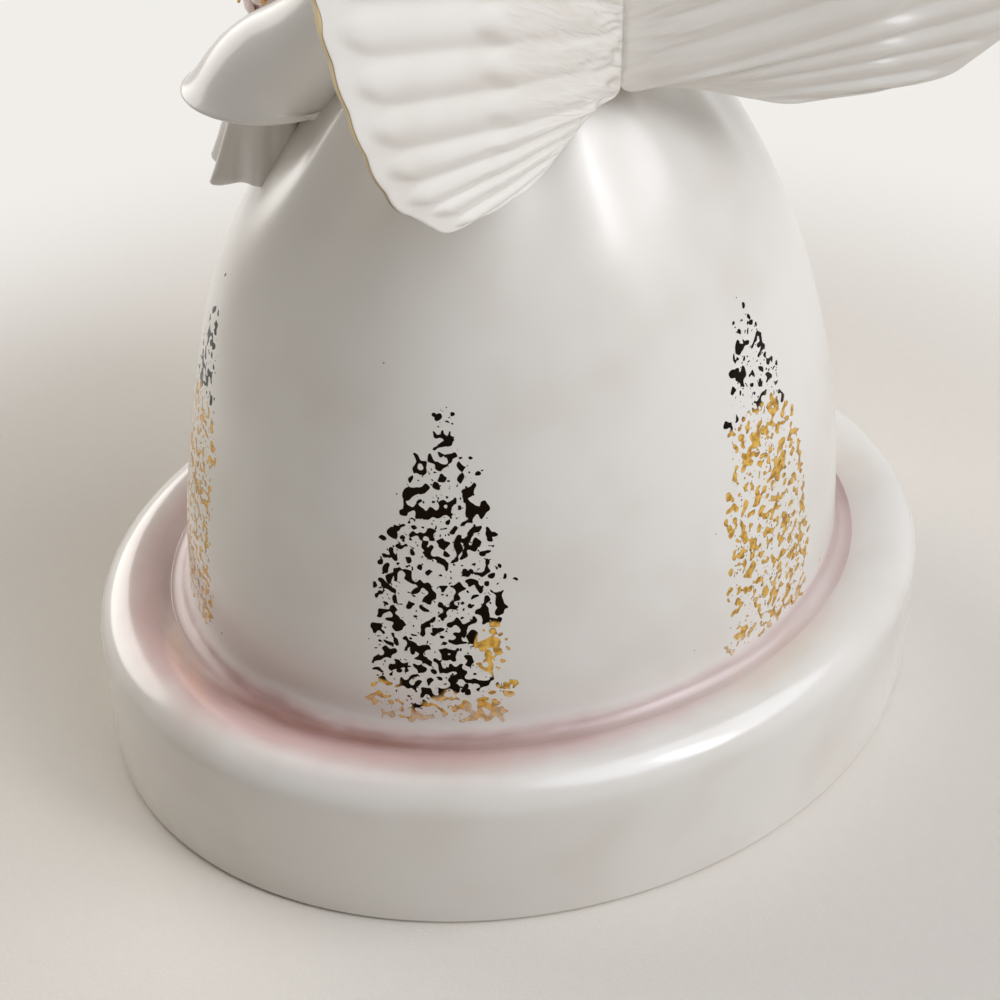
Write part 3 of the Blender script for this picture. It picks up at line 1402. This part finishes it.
# Roses: name, side, turn and tilt on the posy in degrees, and share of the largest bloom
ROSES = [
    ("middle_rose_1", 0, 4, 1.0),
    ("middle_rose_2", 0, 72, 0.8),
    ("left_rose_1", 40, 34, 0.86),
    ("left_rose_2", 44, -26, 0.86),
    ("left_rose_3", 84, 2, 0.84),
    ("right_rose_1", -40, 34, 0.86),
    ("right_rose_2", -44, -26, 0.86),
    ("right_rose_3", -84, 2, 0.84),
]
LEAF_TURNS = (-30, 38, 64)


def outward(turn, tilt):
    """The direction of a turn about the upright axis and a tilt, from the front of the posy."""
    turn, tilt = math.radians(turn), math.radians(tilt)
    level = math.cos(tilt)
    return Vector((level * math.sin(turn), -level * math.cos(turn), math.sin(tilt)))


def half_posy(posy):
    return Vector((posy.width, posy.depth, posy.height)) / 2


def on_posy(posy, direction):
    return POSY_CENTRE + half_posy(posy) * direction


def facing(direction):
    """The turn that makes a shape which stands up look along a direction."""
    return direction.to_track_quat("Z", "Y").to_matrix().to_4x4()


def petal(width, height, open_angle, curl):
    """A cupped petal that stands on the origin and leans out along +X."""

    def place(x, y):
        side = x * 2
        rise = y + 0.5
        outline = math.sin(math.pi * (0.16 + 0.66 * rise)) * (1 - 0.25 * rise**6)
        lean = open_angle * rise + curl * rise**3
        cup = 0.288 * side * side * width
        reach = height * rise * math.sin(lean) - cup * math.cos(lean)
        up = height * rise * math.cos(lean) * (1 - 0.1 * side * side)
        point = (reach, side * width / 2 * outline, up)
        return point, (side, rise * (1 - 0.04 * side * side))

    return sheet(6, 6, place, 0.3 * MM)


class ANGEL_OT_roses(bpy.types.Operator):
    """Model the roses, each of rings of cupped petals round a rolled heart"""

    bl_idname = "angel.roses"
    bl_label = "Roses"

    # Petals in a ring, size, opening and curl in degrees, and distance from the axis as a share of
    # the radius
    RINGS = [
        (3, 0.62, 4, -12, 0.12),
        (4, 0.78, 16, 12, 0.22),
        (5, 0.92, 34, 34, 0.3),
        (6, 1.0, 60, 40, 0.36),
    ]

    def bloom(self, radius, turn):
        heart = (1.5 * radius, 1.5 * radius, 1.0 * radius)
        parts = [ball((0, 0, 0.1 * radius), heart, 18, 10)]
        painted(parts[0], lambda vert: (0, 0.1))
        for order, (count, size, opening, curl, aside) in enumerate(self.RINGS):
            for index in range(count):
                width = radius * (0.55 + 0.55 * size)
                height = radius * (0.62 + 0.42 * size)
                blade = petal(width, height, math.radians(opening), math.radians(curl))
                angle = math.tau * (index + 0.5 * (order % 2)) / count + order * 0.4 + turn
                shift = Matrix.Translation((aside * radius, 0, 0.1 * radius * (3 - order)))
                parts.append(turned(blade, Matrix.Rotation(angle, 4, "Z") @ shift))
        return together(parts)

    def execute(self, context):
        posy = context.scene.angel_posy
        glaze = context.scene.angel_glaze
        rose, blush = tuple(glaze.rose), tuple(glaze.blush)
        finishes = [
            petal_finish(glaze, "pale_petal", rose, linear("F0DFDA"), 1.0),
            petal_finish(glaze, "deep_petal", linear("B9736C"), blush, 1.0),
        ]
        for index, (name, turn, tilt, size) in enumerate(ROSES):
            radius = posy.rose * size / 2
            out = outward(turn, tilt)
            seat = on_posy(posy, out) + out * radius * 0.02
            mesh = turned(self.bloom(radius, index), Matrix.Translation(seat) @ facing(out))
            kept(context, mesh, "petalled_" + name, [name], finishes[index % 2])
        return {"FINISHED"}


class ANGEL_OT_posy(bpy.types.Operator):
    """Model the posy's small blossoms, leaves, stems and ribbon bow"""

    bl_idname = "angel.posy"
    bl_label = "Posy, stems and bow"

    def blossom(self, radius):
        """Five round petals and an eye, of a few dozen faces."""
        eye = ball((0, 0, 0.25 * radius), (0.7 * radius, 0.7 * radius, 0.6 * radius), 8, 5)
        parts = [painted(eye, lambda vert: (0, 0.0))]
        size = (0.95 * radius, 0.8 * radius, 0.42 * radius)
        for index in range(5):
            lobe = ball((0.62 * radius, 0, 0.1 * radius), size, 8, 5)
            painted(lobe, lambda vert: (0, math.hypot(vert.co.x, vert.co.y) / radius))
            parts.append(turned(lobe, Matrix.Rotation(math.tau * index / 5, 4, "Z")))
        return together(parts)

    def blossoms(self, context):
        posy = context.scene.angel_posy
        glaze = context.scene.angel_glaze
        white = petal_finish(glaze, "white_blossom", linear("D7A945"), linear("F1EDE8"))
        gold = gold_finish(glaze, "gold_blossom")
        blush = petal_finish(glaze, "blush_blossom", tuple(glaze.rose), linear("E7C2B8"))
        groups = [
            ("white_blossoms", white, []),
            ("gold_blossoms", gold, []),
            ("blush_blossoms", blush, []),
        ]
        roses = [
            (on_posy(posy, outward(turn, tilt)), posy.rose * size / 2)
            for _, turn, tilt, size in ROSES
        ]
        golden_turn = math.pi * (3 - math.sqrt(5))
        half = half_posy(posy)
        for index in range(posy.buds):
            rise = 1 - 2 * (index + 0.5) / posy.buds
            turn = golden_turn * index
            level = math.sqrt(1 - rise * rise)
            out = Vector((level * math.cos(turn), level * math.sin(turn), rise))
            seat = on_posy(posy, out)
            if min((seat - spot).length - radius * 0.8 for spot, radius in roses) < 0:
                continue
            radius = (1.75 + 0.4 * math.sin(index * 2.4)) * MM
            normal = Vector([value / reach for value, reach in zip(out, half)]).normalized()
            roll = Matrix.Rotation(index * 1.3, 4, "Z")
            place = Matrix.Translation(seat) @ facing(normal) @ roll
            groups[index % 3][2].append(turned(self.blossom(radius), place))
        for name, finish, meshes in groups:
            kept(context, together(meshes), name, ["posy_heart"], finish)

    def leaf(self, posy, turn):
        def place(x, y):
            share = x + 0.5
            side = abs(y * 2)
            outline = math.sin(math.pi * share**0.8) ** 0.75 * (1 + 0.04 * math.cos(share * 40))
            veins = 0.12 * MM * math.cos(26 * share - 9 * side) * side * (1 - side)
            fold = 0.5 * MM * side**0.8 * math.sin(math.pi * share)
            droop = 1.1 * MM * share**2
            along = share * posy.leaf - posy.leaf * 0.45
            return (along, -fold - veins + droop, y * 4.6 * MM * outline), (share, side)

        mesh = sheet(22, 14, place, 0.45 * MM, pointed=True)
        seat = Vector((math.cos(turn), 0.33, math.sin(turn))).normalized()
        out = Vector((math.cos(turn), 0, math.sin(turn))) * posy.leaf * 0.25
        shift = Matrix.Translation(on_posy(posy, seat) + out)
        return turned(mesh, shift @ Matrix.Rotation(-turn, 4, "Y"))

    def stems(self, context, posy):
        top = POSY_CENTRE + Vector((0, posy.depth / 5, -posy.height / 3))
        foot = top + Vector((0, -1 * MM, -12 * MM))
        parts = []
        for index in range(posy.stems):
            ring = 0 if index == 0 else 1.55 * MM
            turn = math.tau * index / (posy.stems - 1)
            aside = Vector((math.cos(turn), math.sin(turn), 0)) * ring
            swirl = Vector((math.cos(turn + 1.1), math.sin(turn + 1.1), 0)) * ring * 1.25
            middle = top.lerp(foot, 0.5) + (aside + swirl) * 0.4
            end = foot + swirl + Vector((0, 0, 0.7 * MM * math.sin(index * 2.1)))
            parts.append(tube([top + aside, middle, end], [0.62 * MM, 0.6 * MM, 0.68 * MM], 12))
        return fused(context, parts, 0.16 * MM, 1)

    def band(self, places, width):
        """A flat ribbon along a line, with its width across it."""
        line = Line(through, [Vector(place) * MM for place in places])

        def place(x, y):
            share = x + 0.5
            side = y * 2
            across = line.heading(share).cross(Vector((0, 1, 0))).normalized()
            if across.z < 0:
                across = -across
            pinch = 0.45 + 0.55 * smooth(0, 0.35, min(share, 1.35 - share))
            curve = Vector((0, 0.35 * MM * side * side, 0))
            point = line.at(share) + across * (side * width / 2 * pinch) + curve
            return point, (share, abs(side))

        return sheet(6 * len(places), 4, place, 0.4 * MM)

    def bow(self):
        low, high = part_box("posy_bow")
        tie = Vector((0, (low.y + high.y) / 2, high.z - 3.2 * MM))
        knot = ball((0, 0, 0), (2.9 * MM, 2.4 * MM, 2.7 * MM), 20, 12)
        parts = [painted(knot, lambda vert: (0, 0.2))]
        loop = [
            (0.5, 0, 0.2), (3, -0.9, 1.9), (6.4, -0.4, 2.0),
            (6.6, 0.5, 0.4), (3.2, 0.8, -0.5), (0.5, 0.3, -0.2),
        ]
        tail = [(0.4, 0, -0.3), (1.3, -0.5, -2.2), (1.9, 0.1, -4.4), (3.1, -0.3, -6.9)]
        for side, _ in SIDES:
            for places, width in ((loop, 2.3 * MM), (tail, 1.9 * MM)):
                parts.append(self.band([(side * x, y, z) for x, y, z in places], width))
        return turned(together(parts), Matrix.Translation(tie))

    def execute(self, context):
        posy = context.scene.angel_posy
        glaze = context.scene.angel_glaze
        core = ball(POSY_CENTRE, half_posy(posy) * 1.96, 64, 40)
        core_gold = gold_finish(glaze, "posy_gold", "6F5A2E")
        kept(context, core, "posy_core", ["posy_heart"], core_gold)
        self.blossoms(context)
        leaf_gold = gold_finish(glaze, "leaf_gold", "9A8146")
        for side, name in SIDES:
            for index, degrees in enumerate(LEAF_TURNS, 1):
                mesh = mirrored(self.leaf(posy, math.radians(degrees)), side)
                node = f"{name}_leaf_{index}"
                kept(context, mesh, "veined_" + node, [node], leaf_gold)
        stem_gold = gold_finish(glaze, "stem_gold")
        stems = self.stems(context, posy)
        kept(context, stems, "bound_stems", ["posy_stems"], stem_gold)
        ribbon = petal_finish(glaze, "ribbon_blush", tuple(glaze.blush), linear("EBCFC8"), 0.9)
        kept(context, self.bow(), "ribbon_bow", ["posy_bow"], ribbon)
        return {"FINISHED"}


# The camera, fitted to the photo together with the plinth
CAMERA_PLACE = Vector((0.11797, 0.17634, 0.17916))
CAMERA_RIGHT = Vector((-0.8332, 0.5529, -0.0103))
CAMERA_UP = Vector((-0.3299, -0.4819, 0.8117))
VIEW_ANGLE = math.radians(30)

# Lamps: name, turn and rise in degrees, distance, size both ways in metres, and colour
LAMPS = [
    ("window", 115, 34, 0.85, (0.19, 0.5), (0.95, 0.965, 1.0)),
    ("sky", 121, 46, 0.9, (1.0, 0.9), (0.9, 0.93, 1.0)),
    ("second_window", -74, 24, 0.95, (1.0, 0.7), (1.0, 0.97, 0.93)),
    ("ceiling", -60, 82, 0.9, (0.8, 0.8), (1.0, 0.985, 0.965)),
]
LAMP_AIM = Vector((0, 0, 0.06))
FILL_TINT = (1.0, 0.86, 0.72)
FLOOR_RADIUS = 1.6
# Distances from the middle at which the floor starts to turn into the backdrop, and has done so
FADE_START = 0.1
FADE_END = 0.19


class ANGEL_OT_stage(bpy.types.Operator):
    """Set up the pale floor, the soft window light and the camera"""

    bl_idname = "angel.stage"
    bl_label = "Stage, light and camera"

    def lamp(self, context, power, name, turn, rise, distance, size, colour):
        light = bpy.data.lights.new(name, "AREA")
        light.shape = "ELLIPSE"
        light.size, light.size_y = size
        light.energy = power
        light.color = colour
        lamp = bpy.data.objects.new(name, light)
        turn, rise = math.radians(turn), math.radians(rise)
        level = math.cos(rise)
        away = Vector((level * math.cos(turn), level * math.sin(turn), math.sin(rise)))
        lamp.matrix_world = Matrix.Translation(LAMP_AIM + away * distance) @ facing(away)
        context.scene.collection.objects.link(lamp)

    def floor(self, context, stage):
        mesh = bmesh.new()
        bmesh.ops.create_circle(mesh, cap_ends=True, segments=96, radius=FLOOR_RADIUS)
        data = bpy.data.meshes.new("floor")
        mesh.to_mesh(data)
        mesh.free()
        finish = Finish("floor_cloth")
        weave = finish.noise(0.5 * MM) + finish.noise(2.2 * MM)
        colour = finish.mixed(weave * 0.12, tuple(stage.floor), linear("CFC8BE"))
        finish.set(base_color=colour, roughness=0.85)
        finish.set(normal=finish.bumped(weave, 0.05 * MM))
        x, y, _ = finish.split(finish.place())
        far = finish.ramp((x**2.0 + y**2.0) ** 0.5, FADE_START, FADE_END)
        path = finish.node("ShaderNodeLightPath", {}, {}).outputs
        seen = Wire(finish, path["Is Camera Ray"]) | Wire(finish, path["Is Glossy Ray"])
        paper = finish.node("ShaderNodeEmission", {}, {"Color": tuple(stage.backdrop)})
        sockets = {0: far * seen, 1: finish.shader.outputs[0], 2: paper.outputs[0]}
        blend = finish.node("ShaderNodeMixShader", {}, sockets)
        surface = finish.tree.nodes["Material Output"].inputs["Surface"]
        finish.join(surface, blend.outputs[0])
        data.materials.append(finish.material)
        floor = bpy.data.objects.new("floor", data)
        context.scene.collection.objects.link(floor)

    def world(self, context, stage):
        """The backdrop's colour where the camera or a reflection looks, and a faint warm light."""
        world = bpy.data.worlds.new("room")
        world.use_nodes = True
        context.scene.world = world
        tree = world.node_tree
        path = tree.nodes.new("ShaderNodeLightPath")
        direct = tree.nodes.new("ShaderNodeMath")
        direct.operation = "MAXIMUM"
        tree.links.new(path.outputs["Is Camera Ray"], direct.inputs[0])
        tree.links.new(path.outputs["Is Glossy Ray"], direct.inputs[1])
        seen = tree.nodes.new("ShaderNodeMix")
        seen.data_type = "RGBA"
        seen.inputs[6].default_value = [stage.fill * share for share in FILL_TINT] + [1]
        seen.inputs[7].default_value = tuple(stage.backdrop)
        tree.links.new(direct.outputs[0], seen.inputs[0])
        tree.links.new(seen.outputs[2], tree.nodes["Background"].inputs["Color"])

    def camera(self, context):
        data = bpy.data.cameras.new("camera")
        data.sensor_width = 36
        data.lens = data.sensor_width / 2 / math.tan(VIEW_ANGLE / 2)
        data.clip_start = 0.01
        camera = bpy.data.objects.new("camera", data)
        back = CAMERA_RIGHT.cross(CAMERA_UP).normalized()
        up = back.cross(CAMERA_RIGHT).normalized()
        turn = Matrix((CAMERA_RIGHT.normalized(), up, back)).transposed()
        camera.matrix_world = Matrix.Translation(CAMERA_PLACE) @ turn.to_4x4()
        context.scene.collection.objects.link(camera)
        context.scene.camera = camera

    def execute(self, context):
        stage = context.scene.angel_stage
        context.scene.view_settings.view_transform = "Standard"
        for name, *values in LAMPS:
            self.lamp(context, getattr(stage, name), name, *values)
        self.floor(context, stage)
        self.world(context, stage)
        self.camera(context)
        return {"FINISHED"}


SETTINGS = {
    "angel_glaze": GlazeSettings,
    "angel_plinth": PlinthSettings,
    "angel_gown": GownSettings,
    "angel_wing": WingSettings,
    "angel_dress": DressSettings,
    "angel_head": HeadSettings,
    "angel_posy": PosySettings,
    "angel_stage": StageSettings,
}
OPERATORS = [
    ANGEL_OT_plinth,
    ANGEL_OT_gown,
    ANGEL_OT_bodice,
    ANGEL_OT_wings,
    ANGEL_OT_sleeves,
    ANGEL_OT_hands,
    ANGEL_OT_head,
    ANGEL_OT_hair,
    ANGEL_OT_posy,
    ANGEL_OT_roses,
    ANGEL_OT_stage,
]


class ANGEL_PT_panel(bpy.types.Panel):
    """Lists the steps and the settings of the angel"""

    bl_idname = "ANGEL_PT_panel"
    bl_label = "Glazed Ceramic Angel"
    bl_space_type = "VIEW_3D"
    bl_region_type = "UI"
    bl_category = "Angel"

    def draw(self, context):
        for operator in OPERATORS:
            self.layout.operator(operator.bl_idname)
        for name, group in SETTINGS.items():
            box = self.layout.box()
            for key in group.__annotations__:
                box.prop(getattr(context.scene, name), key)


def register():
    for item in [*SETTINGS.values(), *OPERATORS, ANGEL_PT_panel]:
        bpy.utils.register_class(item)
    for name, group in SETTINGS.items():
        setattr(bpy.types.Scene, name, PointerProperty(type=group))


def unregister():
    for name in SETTINGS:
        delattr(bpy.types.Scene, name)
    for item in [ANGEL_PT_panel, *reversed(OPERATORS), *SETTINGS.values()]:
        bpy.utils.unregister_class(item)


def main():
    register()
    bpy.ops.angel.plinth()
    bpy.ops.angel.gown()
    bpy.ops.angel.bodice()
    bpy.ops.angel.wings()
    bpy.ops.angel.sleeves()
    bpy.ops.angel.hands()
    bpy.ops.angel.head()
    bpy.ops.angel.hair()
    bpy.ops.angel.posy()
    bpy.ops.angel.roses()
    bpy.ops.angel.stage()


if __name__ == "__main__":
    main()
